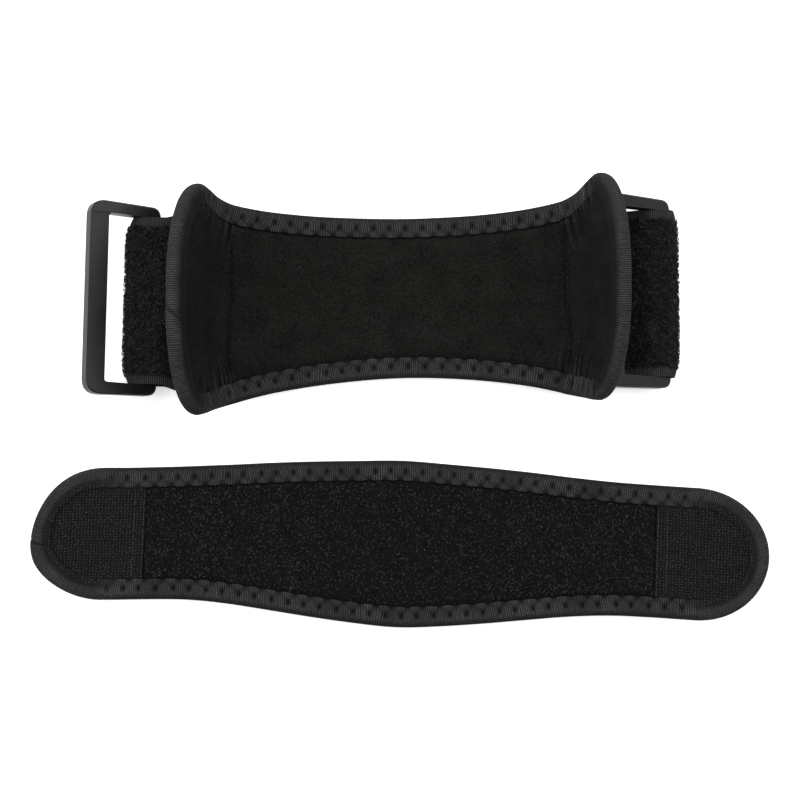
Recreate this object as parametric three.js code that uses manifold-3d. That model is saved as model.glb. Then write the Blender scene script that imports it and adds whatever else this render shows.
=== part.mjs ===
// Patellar strap, unfastened: a front pad with two ring tabs, and the closing band beside it.
// Millimetres, +Z up. The strap lies on its outer face, with the pad's inner face and the
// band's gripping face up. X runs along both halves, Y across them.

import * as THREE from "three";
import { mergeVertices } from "three/addons/utils/BufferGeometryUtils.js";
import Module from "manifold-3d";

// Clearance kept between neighbouring pieces
const GAP = 0.3;

// Straight steps that stand for a round corner or end
const ROUND_STEPS = { fold: 8, corner: 8, patch: 12 };

// Front pad, flat pattern and side view
const PAD = {
  endRound: 20,       // length of the elliptical end of a flap
  coreTop: 2.0,       // heights of the padded middle over and under the middle surface
  coreBottom: 2.15,
  edgeHalf: 1.0,      // half thickness where the binding grips the pad
  coreInset: 7.6,     // distance from the edge at which the pad has its full thickness
  sag: 1.2,           // the base bows this far to one side at its creases
  leanBack: 0.5,      // share of that bow that the flaps lean back from
  uneven: 0.016,      // the left half is wider by this share, the right half narrower
  unevenOver: 30,     // distance from the waist in which that comes in
  twist: 0.7,         // the flaps are shifted this far to opposite sides
  skew: 0.1,          // on one side of each flap the pattern reaches further out, by this share of the width
};

// Half width of the pad along its flat length, from the middle to where the rounded end starts
const PAD_WIDTHS = [
  { along: 0, half: 24.2 },
  { along: 15, half: 24.7 },
  { along: 30, half: 26.0 },
  { along: 42, half: 27.8 },
  { along: 50, half: 29.7 },
  { along: 56, half: 31.7 },
  { along: 61, half: 33.4 },
  { along: 64, half: 34.0 },
];

// Side view of the pad from the middle outwards: arcs of a length and a turn in degrees
const PAD_PROFILE = [
  { part: "flat base", length: 18, turn: 0, steps: 1 },
  { part: "rising base", length: 31, turn: 13, steps: 4 },
  { part: "crease", length: 9, turn: 49, steps: 6 },
  { part: "flap", length: 6, turn: 5, steps: 2 },
  { part: "flap's rounded end", length: 20, turn: 4, steps: 8 },
];
const PAD_CREASE_AT = PAD_PROFILE[0].length + PAD_PROFILE[1].length;
const PAD_WIDEST_AT = PAD_WIDTHS[PAD_WIDTHS.length - 1].along;

// Closing band, flat pattern and layers
const BAND = {
  halfLength: 109.8,
  endRound: 21.6,     // length of the elliptical ends
  bow: 1.0,           // the middle line waves this far to one side between the middle and the ends
  midHeight: 1.75,    // middle of the binding over the surface that the band lies on
  coreTop: 0.45,
  coreBottom: 1.75,
  edgeHalf: 0.65,
  coreInset: 7.3,
  faceThickness: 0.9, // loop field and hook patches
  patchStart: 75.7,   // where the loop field ends and the hook patches start
  sideSteps: 8,
  endSteps: 8,
};

// Half width of the band from the middle to where its round end starts
const BAND_WIDTHS = [
  { along: 0, half: 24.8 },
  { along: 15, half: 24.0 },
  { along: 27, half: 23.05 },
  { along: 39, half: 21.9 },
  { along: 51, half: 20.7 },
  { along: 63, half: 19.9 },
  { along: 75, half: 19.7 },
  { along: 88.2, half: 19.7 },
];

// Edge binding, a tape folded to a U over the edge
const BINDING = { reach: 6, nose: 1.6, noseSteps: 4, padWeb: 0.8, bandWeb: 0.75 };

// Tabs, each one length of pile tape folded round a ring's bar and sewn under the pad
const TAB = {
  width: 49.8,
  tape: 2.0,
  sewnThickness: 2.8, // both layers where they are sewn flat
  neckThickness: 3.4, // both layers where the loop starts
  rootX: 46.5,
  creaseX: 52,
  neckRun: 6,         // length over which the loop opens
  loopLead: 2.6,      // full opening starts this far inside the ring's axis
};

// Rings, alike and with the bar that the tab holds along the local Y axis
const RING = {
  reach: 20.7,        // from the held bar's axis to the outer edge
  thickness: 3.9,
  bevel: 0.4,
  barWidth: 6.0,
  barRecess: 0.4,     // the outer bar's faces lie this much lower than the rails
  windowHalf: 25.2,
  windowCorner: 1.0,
  outerHalf: 28.95,   // half length of the ring at its outer bar
  heldHalf: 28.45,    // half length at the held bar, a little less
  outerCorner: 4.8,
  heldCorner: 3.2,
  heldRadius: 1.8,
  heldSides: 14,
};

// Where each tab folds and its ring's axis lies, how far the tab lies askew under the pad,
// and how far the ring's outer bar is raised, in degrees. The right ring is folded inwards,
// so it leans on the back of the flap.
const SIDES = [
  { name: "left", sign: -1, foldX: 82.6, axisX: 74.5, offsetY: -0.7, swing: -2.05, raise: 31 },
  { name: "right", sign: 1, foldX: 84.2, axisX: 78.7, offsetY: 0.05, swing: -1.25, raise: 30 },
];

// Layout of the two halves on the surface
const PAD_PLACE = { x: -0.4, y: 30.6, turn: 1.1 };
const BAND_PLACE = { x: 0, y: -43.0, turn: -2.2 };

const wasm = await Module();
wasm.setup();

// Finishes

function finish(color, roughness) {
  return new THREE.MeshStandardMaterial({ color, roughness, metalness: 0 });
}

function namedMesh(name, geometry, material) {
  geometry.computeVertexNormals();
  const mesh = new THREE.Mesh(geometry, material);
  mesh.name = name;
  return mesh;
}

// Outlines

function widthCurve(rows) {
  const along = rows.map((row) => row.along);
  const half = rows.map((row) => row.half);
  const curve = new THREE.CubicInterpolant(along, half, 1);
  return (s) => curve.evaluate(s)[0];
}

// A quarter of an outline from the end's middle to the side's middle: an elliptical end, then the side
function quarterOutline(endStart, endRound, endHalf, endSteps, sideStations, widthAt) {
  const quarter = [];
  for (let step = 0; step < endSteps; step += 1) {
    const angle = (step / endSteps) * (Math.PI / 2);
    const x = endStart + endRound * Math.cos(angle);
    quarter.push(new THREE.Vector2(x, endHalf * Math.sin(angle)));
  }
  for (const s of sideStations) {
    quarter.push(new THREE.Vector2(s, widthAt(s)));
  }
  return quarter;
}

// The whole outline, counter-clockwise from the right end's middle; point k mirrors point count - k
function wholeOutline(quarter) {
  const last = quarter.length - 1;
  const mirrored = (points, x, y) => points.map((p) => new THREE.Vector2(p.x * x, p.y * y));
  return [
    ...mirrored(quarter, 1, 1),
    ...mirrored(quarter.slice(0, last).reverse(), -1, 1),
    ...mirrored(quarter.slice(1), -1, -1),
    ...mirrored(quarter.slice(1, last).reverse(), 1, -1),
  ];
}

function insetOutline(outline, inset) {
  const count = outline.length;
  return outline.map((point, index) => {
    const before = outline[(index + count - 1) % count];
    const after = outline[(index + 1) % count];
    const arriving = new THREE.Vector2().subVectors(point, before).normalize();
    const leaving = new THREE.Vector2().subVectors(after, point).normalize();
    const tangent = arriving.add(leaving).normalize();
    return new THREE.Vector2(point.x - tangent.y * inset, point.y + tangent.x * inset);
  });
}

// Solids swept round an outline. A section is a list of { inset, height } from the edge inwards.

function sweepSection(outline, section, place, closed) {
  const count = outline.length;
  const positions = [];
  for (const { inset, height } of section) {
    for (const point of insetOutline(outline, inset)) {
      positions.push(...place(point.x, point.y, height));
    }
  }
  const faces = [];
  const strips = closed ? section.length : section.length - 1;
  for (let strip = 0; strip < strips; strip += 1) {
    const near = strip * count;
    const far = ((strip + 1) % section.length) * count;
    for (let k = 0; k < count; k += 1) {
      const next = (k + 1) % count;
      faces.push(near + k, near + next, far + next);
      faces.push(near + k, far + next, far + k);
    }
  }
  if (!closed) {
    fillLoop(faces, (section.length - 1) * count, count, true);
    fillLoop(faces, 0, count, false);
  }
  const geometry = new THREE.BufferGeometry();
  geometry.setAttribute("position", new THREE.Float32BufferAttribute(positions, 3));
  geometry.setIndex(faces);
  return geometry;
}

// Closes a symmetrical loop with straight rungs across the part
function fillLoop(faces, start, count, facesUp) {
  const triangle = (a, b, c) => {
    const corners = facesUp ? [a, b, c] : [a, c, b];
    faces.push(...corners.map((corner) => start + corner));
  };
  const half = count / 2;
  triangle(0, 1, count - 1);
  for (let k = 1; k < half - 1; k += 1) {
    triangle(k, k + 1, count - k - 1);
    triangle(k, count - k - 1, count - k);
  }
  triangle(half - 1, half, half + 1);
}

function slabSection(size, web) {
  const top = size.edgeTop ?? size.edgeHalf;
  const grip = BINDING.reach + GAP;
  return [
    { inset: size.coreInset, height: -size.coreBottom },
    { inset: grip, height: -size.edgeHalf },
    { inset: web + GAP, height: -size.edgeHalf },
    { inset: web + GAP, height: top },
    { inset: grip, height: top },
    { inset: size.coreInset, height: size.coreTop },
  ];
}

function bindingSection(edgeHalf, web) {
  const inner = edgeHalf + GAP;
  const outer = inner + web;
  const section = [{ inset: BINDING.reach, height: -outer }];
  for (let step = 0; step <= BINDING.noseSteps; step += 1) {
    const angle = (step / BINDING.noseSteps - 0.5) * Math.PI;
    section.push({ inset: BINDING.nose * (1 - Math.cos(angle)), height: outer * Math.sin(angle) });
  }
  section.push({ inset: BINDING.reach, height: outer });
  section.push({ inset: BINDING.reach, height: inner });
  section.push({ inset: web, height: inner });
  section.push({ inset: web, height: -inner });
  section.push({ inset: BINDING.reach, height: -inner });
  return section;
}

// Front pad

// Place and slope of the pad's middle surface at a distance s from the middle, straight on past its end
function profileAt(s) {
  let x = 0;
  let z = PAD.coreBottom;
  let slope = 0;
  let left = s;
  for (const { length, turn } of PAD_PROFILE) {
    const run = Math.min(left, length);
    const bend = THREE.MathUtils.degToRad(turn) * (run / length);
    const chord = bend === 0 ? run : (2 * run * Math.sin(bend / 2)) / bend;
    x += chord * Math.cos(slope + bend / 2);
    z += chord * Math.sin(slope + bend / 2);
    slope += bend;
    left -= run;
  }
  return { x: x + left * Math.cos(slope), z: z + left * Math.sin(slope), slope };
}

function placeOnPad(s, y, height) {
  const side = Math.sign(s);
  const onFlap = THREE.MathUtils.smoothstep(Math.abs(s), PAD_CREASE_AT, PAD_WIDEST_AT);
  const further = PAD.skew * Math.max(0, side * y) * onFlap;
  const { x, z, slope } = profileAt(Math.abs(s) + further);
  const bow = PAD.sag * Math.min(1, (s / PAD_CREASE_AT) ** 2) * (1 - PAD.leanBack * onFlap);
  const widen = 1 - PAD.uneven * Math.tanh(s / PAD.unevenOver);
  const across = y * widen - bow + side * PAD.twist * onFlap;
  return [side * (x - height * Math.sin(slope)), across, z + height * Math.cos(slope)];
}

function padOutline() {
  const widthAt = widthCurve(PAD_WIDTHS);
  const endRow = PAD_WIDTHS[PAD_WIDTHS.length - 1];
  const stations = [0];
  let start = 0;
  for (const { length, steps } of PAD_PROFILE.slice(0, -1)) {
    for (let step = 1; step <= steps; step += 1) {
      stations.push(start + (length * step) / steps);
    }
    start += length;
  }
  const endSteps = PAD_PROFILE[PAD_PROFILE.length - 1].steps;
  return wholeOutline(
    quarterOutline(endRow.along, PAD.endRound, endRow.half, endSteps, stations.reverse(), widthAt),
  );
}

function makePad() {
  const outline = padOutline();
  const foam = finish(0x1c1b1a, 0.95);
  const elastic = finish(0x333230, 0.85);
  const body = sweepSection(outline, slabSection(PAD, BINDING.padWeb), placeOnPad, false);
  const trim = bindingSection(PAD.edgeHalf, BINDING.padWeb);
  const binding = sweepSection(outline, trim, placeOnPad, true);
  return [namedMesh("pad_body", body, foam), namedMesh("pad_binding", binding, elastic)];
}

// Tabs

const LOOP_OPENING = 2 * (RING.heldRadius + GAP);
const AXIS_HEIGHT = TAB.tape + LOOP_OPENING / 2;

// Side view of a tab: a flat sewn root, a neck where the layers part, and a loop with a round fold
function tabShape({ foldX, axisX }) {
  const outerRound = TAB.tape + LOOP_OPENING / 2;
  const foldCentre = foldX - outerRound;
  const loopStart = axisX - TAB.loopLead;
  const neckX = loopStart - TAB.neckRun;
  const top = 2 * outerRound;

  const shape = new THREE.Shape();
  shape.moveTo(TAB.rootX, 0);
  shape.lineTo(foldCentre, 0);
  shape.absarc(foldCentre, outerRound, outerRound, -Math.PI / 2, Math.PI / 2, false);
  shape.lineTo(loopStart, top);
  shape.lineTo(neckX, TAB.neckThickness);
  shape.lineTo(TAB.creaseX, TAB.sewnThickness);
  shape.lineTo(TAB.rootX, TAB.sewnThickness);
  shape.closePath();

  const hole = new THREE.Path();
  const neckMiddle = TAB.neckThickness / 2;
  hole.moveTo(neckX + GAP, neckMiddle);
  hole.lineTo(loopStart, TAB.tape);
  hole.lineTo(foldCentre, TAB.tape);
  hole.absarc(foldCentre, outerRound, LOOP_OPENING / 2, -Math.PI / 2, Math.PI / 2, false);
  hole.lineTo(loopStart, TAB.tape + LOOP_OPENING);
  hole.closePath();
  shape.holes.push(hole);
  return shape;
}

function makeTab(side, material) {
  const settings = { depth: TAB.width, bevelEnabled: false, curveSegments: ROUND_STEPS.fold };
  const geometry = new THREE.ExtrudeGeometry(tabShape(side), settings);
  geometry.rotateX(Math.PI / 2);
  geometry.translate(0, TAB.width / 2, 0);
  if (side.sign < 0) {
    geometry.rotateZ(Math.PI);
  }
  return namedMesh(`${side.name}_tab`, geometry, material);
}

// Rings

function solidOf(geometry) {
  const bare = geometry.clone();
  bare.deleteAttribute("normal");
  bare.deleteAttribute("uv");
  const merged = mergeVertices(bare);
  const vertProperties = Float32Array.from(merged.attributes.position.array);
  const triVerts = Uint32Array.from(merged.index.array);
  return new wasm.Manifold(new wasm.Mesh({ numProp: 3, vertProperties, triVerts }));
}

function geometryOf(solid) {
  const mesh = solid.getMesh();
  const geometry = new THREE.BufferGeometry();
  geometry.setAttribute("position", new THREE.Float32BufferAttribute(mesh.vertProperties, 3));
  geometry.setIndex(Array.from(mesh.triVerts));
  return geometry;
}

// Outline of the ring: a rounded rectangle, a little narrower at the held bar
function ringOutline() {
  const { reach, outerHalf, heldHalf, outerCorner, heldCorner, heldRadius } = RING;
  const heldX = heldRadius + GAP;
  const shape = new THREE.Shape();
  shape.moveTo(-reach, -outerHalf + outerCorner);
  shape.quadraticCurveTo(-reach, -outerHalf, -reach + outerCorner, -outerHalf);
  shape.lineTo(heldX - heldCorner, -heldHalf);
  shape.quadraticCurveTo(heldX, -heldHalf, heldX, -heldHalf + heldCorner);
  shape.lineTo(heldX, heldHalf - heldCorner);
  shape.quadraticCurveTo(heldX, heldHalf, heldX - heldCorner, heldHalf);
  shape.lineTo(-reach + outerCorner, outerHalf);
  shape.quadraticCurveTo(-reach, outerHalf, -reach, outerHalf - outerCorner);
  shape.closePath();
  return shape;
}

// The opening between the outer bar and the rails, left open past the held end
function windowOutline() {
  const { reach, barWidth, windowHalf, windowCorner, heldRadius } = RING;
  const barX = barWidth - reach;
  const openX = heldRadius + 2 * GAP;
  const shape = new THREE.Shape();
  shape.moveTo(barX, -windowHalf + windowCorner);
  shape.quadraticCurveTo(barX, -windowHalf, barX + windowCorner, -windowHalf);
  shape.lineTo(openX, -windowHalf);
  shape.lineTo(openX, windowHalf);
  shape.lineTo(barX + windowCorner, windowHalf);
  shape.quadraticCurveTo(barX, windowHalf, barX, windowHalf - windowCorner);
  shape.closePath();
  return shape;
}

// A plate with bevelled edges, minus its window and the recesses over its outer bar, plus the held bar
function ringGeometry() {
  const { reach, thickness, bevel, barWidth, barRecess, windowHalf, heldRadius, heldSides } = RING;
  const depth = thickness - 2 * bevel;
  const plate = new THREE.ExtrudeGeometry(ringOutline(), {
    depth,
    bevelThickness: bevel,
    bevelSize: bevel,
    bevelOffset: -bevel,
    bevelSegments: 1,
    curveSegments: ROUND_STEPS.corner,
  });
  plate.translate(0, 0, -depth / 2);

  const cutDepth = thickness + 2 * GAP;
  const opening = new THREE.ExtrudeGeometry(windowOutline(), {
    depth: cutDepth,
    bevelEnabled: false,
    curveSegments: ROUND_STEPS.corner,
  });
  opening.translate(0, 0, -cutDepth / 2);

  const recess = new THREE.BoxGeometry(barWidth + 2 * GAP, 2 * windowHalf, 2 * barRecess);
  const recessX = barWidth / 2 - reach;
  const heldBar = new THREE.CylinderGeometry(heldRadius, heldRadius, 2 * (windowHalf + GAP), heldSides);
  const solid = solidOf(plate)
    .subtract(solidOf(opening))
    .subtract(solidOf(recess.clone().translate(recessX, 0, thickness / 2)))
    .subtract(solidOf(recess.clone().translate(recessX, 0, -thickness / 2)))
    .add(solidOf(heldBar));
  return geometryOf(solid);
}

function makeRing(side, material) {
  const ring = namedMesh(`${side.name}_ring`, ringGeometry(), material);
  ring.position.set(side.sign * side.axisX, 0, AXIS_HEIGHT);
  ring.rotation.y = THREE.MathUtils.degToRad(side.raise);
  return ring;
}

// A tab and its ring, turned together about the middle of the crease
function makeTabHalf(side) {
  const pivotX = side.sign * TAB.creaseX;
  const content = new THREE.Group();
  content.position.x = -pivotX;
  content.add(makeTab(side, finish(0x191918, 1)));
  content.add(makeRing(side, finish(0x343332, 0.5)));
  const pivot = new THREE.Group();
  pivot.position.set(pivotX, side.offsetY, 0);
  pivot.rotation.z = THREE.MathUtils.degToRad(side.swing);
  pivot.add(content);
  return pivot;
}

// Closing band

const bandWidthAt = widthCurve(BAND_WIDTHS);
const BAND_END_START = BAND.halfLength - BAND.endRound;
const BAND_END_HALF = BAND_WIDTHS[BAND_WIDTHS.length - 1].half;

function placeOnBand(s, y, height) {
  const bow = BAND.bow * Math.sin((Math.PI * s) / BAND.halfLength) ** 2;
  return [s, y + bow, BAND.midHeight + height];
}

function bandOutline() {
  const stations = [];
  for (let step = BAND.sideSteps; step >= 0; step -= 1) {
    stations.push((BAND_END_START * step) / BAND.sideSteps);
  }
  return wholeOutline(
    quarterOutline(BAND_END_START, BAND.endRound, BAND_END_HALF, BAND.endSteps, stations, bandWidthAt),
  );
}

const FACE_INSET = BINDING.reach + GAP;

function loopFieldShape() {
  const end = BAND.patchStart - GAP / 2;
  const edge = [];
  for (let step = 0; step <= 2 * BAND.sideSteps; step += 1) {
    const s = end * (step / BAND.sideSteps - 1);
    edge.push(new THREE.Vector2(s, bandWidthAt(Math.abs(s)) - FACE_INSET));
  }
  const mirrored = edge.map((point) => new THREE.Vector2(point.x, -point.y));
  return new THREE.Shape([...mirrored, ...edge.reverse()]);
}

function hookPatchShape() {
  const start = BAND.patchStart + GAP / 2;
  const half = BAND_END_HALF - FACE_INSET;
  const round = BAND.endRound - FACE_INSET;
  const shape = new THREE.Shape();
  shape.moveTo(start, -half);
  shape.lineTo(BAND_END_START, -half);
  shape.absellipse(BAND_END_START, 0, round, half, -Math.PI / 2, Math.PI / 2, false);
  shape.lineTo(start, half);
  shape.closePath();
  return shape;
}

// A layer of the face, laid on the band's core along its bowed middle line
function faceGeometry(shape, turn = 0) {
  const settings = { depth: BAND.faceThickness, bevelEnabled: false, curveSegments: ROUND_STEPS.patch };
  const geometry = new THREE.ExtrudeGeometry(shape, settings).rotateZ(turn);
  const corners = geometry.attributes.position;
  for (let index = 0; index < corners.count; index += 1) {
    const height = corners.getZ(index) + BAND.coreTop + GAP;
    corners.setXYZ(index, ...placeOnBand(corners.getX(index), corners.getY(index), height));
  }
  return geometry;
}

function makeBand() {
  const outline = bandOutline();
  const layers = { ...BAND, edgeTop: BAND.coreTop };
  const body = sweepSection(outline, slabSection(layers, BINDING.bandWeb), placeOnBand, false);
  const trim = bindingSection(BAND.edgeHalf, BINDING.bandWeb);
  const binding = sweepSection(outline, trim, placeOnBand, true);
  const hooks = finish(0x2b2b29, 0.8);
  return [
    namedMesh("band_body", body, finish(0x201f1f, 0.95)),
    namedMesh("band_binding", binding, finish(0x333230, 0.85)),
    namedMesh("band_loop_field", faceGeometry(loopFieldShape()), finish(0x1b191b, 1)),
    namedMesh("left_hook_patch", faceGeometry(hookPatchShape(), Math.PI), hooks),
    namedMesh("right_hook_patch", faceGeometry(hookPatchShape()), hooks.clone()),
  ];
}

// Layout, with the origin at the bottom centre of the whole

function placeHalf(place, ...pieces) {
  const group = new THREE.Group();
  group.position.set(place.x, place.y, 0);
  group.rotation.z = THREE.MathUtils.degToRad(place.turn);
  group.add(...pieces);
  return group;
}

const strap = new THREE.Group();
strap.add(placeHalf(PAD_PLACE, ...makePad(), ...SIDES.map(makeTabHalf)));
strap.add(placeHalf(BAND_PLACE, ...makeBand()));

strap.updateMatrixWorld(true);
const bounds = new THREE.Box3().setFromObject(strap, true);
const centre = bounds.getCenter(new THREE.Vector3());
strap.position.set(-centre.x, -centre.y, -bounds.min.z);
strap.updateMatrixWorld(true);

export default strap;
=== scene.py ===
"""Looks of a patellar strap, laid out in its two halves: the pad with its ring tabs, and the band.

Sizes are in millimetres and repeat those of the solids. Meshes are in metres, in the frame's axes.
"""

import math
from collections import namedtuple

import bpy
import numpy as np
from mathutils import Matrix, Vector
from mathutils.kdtree import KDTree


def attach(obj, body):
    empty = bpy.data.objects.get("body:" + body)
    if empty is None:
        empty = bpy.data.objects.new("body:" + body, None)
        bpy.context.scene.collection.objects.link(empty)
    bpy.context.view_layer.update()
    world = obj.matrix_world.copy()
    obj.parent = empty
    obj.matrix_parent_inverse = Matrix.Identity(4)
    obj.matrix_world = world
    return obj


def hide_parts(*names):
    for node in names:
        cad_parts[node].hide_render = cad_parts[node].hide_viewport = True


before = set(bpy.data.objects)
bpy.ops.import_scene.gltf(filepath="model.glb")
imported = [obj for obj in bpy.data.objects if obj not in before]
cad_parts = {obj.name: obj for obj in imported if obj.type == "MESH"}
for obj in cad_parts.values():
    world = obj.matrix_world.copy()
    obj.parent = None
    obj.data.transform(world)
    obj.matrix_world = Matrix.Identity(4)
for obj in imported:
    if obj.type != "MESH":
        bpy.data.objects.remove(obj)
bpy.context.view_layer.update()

MM = 0.001
SEED = 20

# Uneven surfaces: height, wavelength, number added to the seed and count of plane waves
Waves = namedtuple("Waves", "height length seed count")
WAVE_SPREAD = (0.75, 1.4)  # shares of the wavelength
WAVE_PEAK = 1.5  # the waves' sum seldom goes past this

# A swelling or a groove beside an edge: height, distance from the edge and width
Ridge = namedtuple("Ridge", "height at width")

# Sizes of the front pad
PAD_CORE_TOP = 2.0
PAD_CORE_BOTTOM = 2.15
PAD_EDGE_HALF = 1.0
PAD_SAG = 1.2
PAD_LEAN_BACK = 0.5
PAD_UNEVEN = 0.016
PAD_UNEVEN_OVER = 30
PAD_TWIST = 0.7
PAD_SKEW = 0.1
PAD_CREASE_AT = 49
PAD_SEAM_AT = 51.5  # where the tabs are sewn on, which draws a crease into the lining
PAD_SEAM_HALF = 20.5
PAD_SEAM_ENDS_OVER = 2
PAD_SEAM_STRAY = Waves(0.5, 25, 19, 6)
PAD_SEAM_WIDTH = 0.7
PAD_SEAM_DEPTH = 0.25
PAD_WIDEST_AT = 64
PAD_END_ROUND = 20
PAD_WIDTHS = [  # distance from the middle, half width
    (0, 24.2), (15, 24.7), (30, 26.0), (42, 27.8), (50, 29.7), (56, 31.7), (61, 33.4), (64, 34.0),
]
PAD_PROFILE = [  # length, turn in degrees: flat base, rising base, crease, flap, its end, past its end
    (18, 0), (31, 13), (9, 49), (6, 5), (20, 4), (3, 0),
]
PAD_PROFILE_POINTS = 4001
PAD_TUCK = 1.2  # from the outline in to the foam's edge, inside the binding
PAD_GRID = (241, 81)
PAD_RISES = (5.4, 8.0)  # distances from the edge between which the foam grows to its full thickness
PAD_END_RISES = (4.4, 6.0)  # the same round the ends
PAD_PUFF = Ridge(0.28, 9.5, 2.2)
PAD_PUFF_EVEN = 0.6  # share of the puff that doesn't come and go with the stitches
PAD_NOTCH = Ridge(0.35, 6.5, 1.2)
PAD_RUMPLES = (Waves(0.10, 11, 4, 24), Waves(0.05, 4, 5, 24))
PAD_SWELL = Waves(0.05, 9, 3, 8)
TUCK_SPACING = 1.3  # between the lining's tucks where the flaps bend up
TUCKS_DEEP = 6  # how far in from the edge the tucks are full, and over what distance they fade
TUCKS_FADE = 5
LINING_TUCKS = Waves(0.5, 3.1, 2, 10)
TAPE_TUCKS = (Waves(0.22, 3.1, 2, 10), Waves(0.16, TUCK_SPACING, 2, 10))
GATHERS_START = (44, 53)  # distances from the middle between which the edge is gathered
GATHERS_STOP = (64, 74)

# Sizes of the closing band
BAND_HALF_LENGTH = 109.8
BAND_END_ROUND = 21.6
BAND_BOW = 1.0
BAND_MID_HEIGHT = 1.75
BAND_CORE_TOP = 0.45
BAND_CORE_BOTTOM = 1.75
BAND_EDGE_HALF = 0.65
BAND_PATCH_START = 75.7
BAND_TUCK = 1.1
BAND_GRID = (121, 31)
BAND_RISES = (5.6, 7.6)
BAND_SWELL = Waves(0.06, 12, 8, 8)
BAND_LEFT_DROOP = 0.7  # the left end lies lower than the right one's mirror image, its tip the most
BAND_LEFT_DROOPS = (55, 90)
BAND_TIP_DROOP = 2.8
BAND_WIDTHS = [
    (0, 24.8), (15, 24.0), (27, 23.05), (39, 21.9), (51, 20.7), (63, 19.9), (75, 19.7), (88.2, 19.7),
]

# Fabrics on the band's face
FACE_GAP = 0.15  # from the line between two fabrics to the edge of each
FACE_INSET = 5.3  # from the outline in to the fabrics' edges, under the binding
FACE_LIFT = 0.05
FACE_EDGE = 0.25  # thickness at the edge, and what the middle has more
FACE_GAIN = 0.55
FACE_HEIGHT = BAND_CORE_TOP + FACE_LIFT + FACE_EDGE + FACE_GAIN
FACE_RELIEF_STARTS = (6, 7)
FACE_COLUMNS = 49
FIELD_ROWS = 221
FIELD_RISES = (5.6, 7.4)
FIELD_RELIEF = (Waves(0.10, 1.7, 10, 40), Waves(0.05, 9, 11, 24))
PATCH_ROWS = 61
PATCH_RISES = (4.8, 6.2)
PATCH_END_INSET = 5.4
PATCH_WEAVE = 0.09
PATCH_WEAVE_PITCH = (1.4, 1.3)

# Edge binding and its zigzag seam
BINDING_REACH = 6.0
BINDING_NOSE = 1.6
PAD_BINDING_HALF = 2.1
BAND_BINDING_HALF = 1.7
RIB_PITCH = 0.68
EDGE_STEP = RIB_PITCH / 4  # between the binding's points along the edge
RIB_HEIGHT = 0.10
RIB_LEAN = Waves(0.22, 60, 40, 6)
RIB_DRIFT = Waves(0.12, 5, 41, 20)
RIB_LOST = 0.8  # share of its height that a rib loses in a needle hole
SECTION_POINTS = (11, 3, 8)  # on the binding's upper face, on its lower face and round its nose
INNER_WALL_AT = 1.0  # the tape's hidden inner side: how far in it turns, and its gap to the foam
INNER_WALL_GAP = 0.2
TAPE_TONE = 0.47
TAPE_MOTTLE = Waves(0.09, 0.9, 42, 30)
# Painted shade over the fold round the nose, where the tape turns away from the light
FOLD_DARK = (1.5, 2.9)  # distances round the section from the nose's middle: it grows lighter between
FOLD_PAINTED_SHADE = 0.5
WORN_TONE = 0.6
WORN_SHARE = 0.5
WORN_WIDTH = 1.1
HOLE_PITCH = 4.9
HOLE_STRAY = 0.06  # share of the pitch
HOLE_INSET = 3.3
HOLE_SIZE = 0.5
HOLE_SQUASH = 0.8  # a hole is longer across the tape
HOLE_DEPTH = 0.85
HOLE_PINCH = 0.35  # share of the way to the needle by which the tape is drawn together
NOTCH_LEAD = 0.36  # share of the pitch from a hole to the next needle point at the inner edge
NOTCH_SIZE = (0.55, 0.8)  # along the edge, across the tape
NOTCH_DEPTH = 0.5
LOBE_GAP = 0.8  # between the lobes of the inner edge, at the notches
SCALLOP = 0.16  # how far the inner edge comes and goes between needle points
SCALLOP_FROM = HOLE_INSET + 0.6
PILLOW = 0.14  # swelling of the lobes
PILLOW_RISES = (HOLE_INSET, 4.9)
FACE_SINK = 0.12
GROOVE_WIDTH = 0.26  # along the seam's thread
GROOVE_DEPTH = 0.12
# Painted shade in the seam's recesses: the needle holes, the notches and the thread's groove
HOLE_PAINTED_SHADE = 0.97
NOTCH_PAINTED_SHADE = 0.8
GROOVE_PAINTED_SHADE = 0.25
INNER_DARKEN = 0.88
# painted shade along the cut edge where one end of the tape lies over the other
CUT_PAINTED_SHADE = 0.9
# painted light on the tape's swellings and tucks, painted shade in the troughs between them
SWELL_LIGHT_AND_SHADE = 1.6
THREAD_RADIUS = 0.13
THREAD_SIDES = 5
THREAD_SUNK = 0.05
THREAD_SHORT = 0.15  # from its upper needle point to the tape's inner edge
THREAD_POINTS = (7, 9)  # on the leg up and on the leg down
PAD_LAP_AT = 6.1  # where one end of the tape comes out from under the other, past the left end's middle
BAND_LAP_AT = -0.6
LAP_SLANT = 0.9
LAP_RISE = 0.45
LAP_FADES = (6, 13)
LAP_EDGE = 0.25  # half the run over which the upper end starts
LAP_ACROSS = (3, 4.5)  # distances round the section between which the lap ends
LAP_CUT = 0.3
LAP_CUT_DEPTH = 0.15
PAD_ENDS_AT = 51  # the seam sinks into the tape round the ends
BAND_ENDS_AT = 88
ENDS_OVER = 7
# Round the ends the tape's inner part lies in the dark: distances from the pattern's middle between which
# the dark comes, and distances inwards from the edge
PAD_DARK = ((56, 72), (1.0, 3.6))
BAND_DARK = ((81, 95), (2.8, 4.4))

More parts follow.
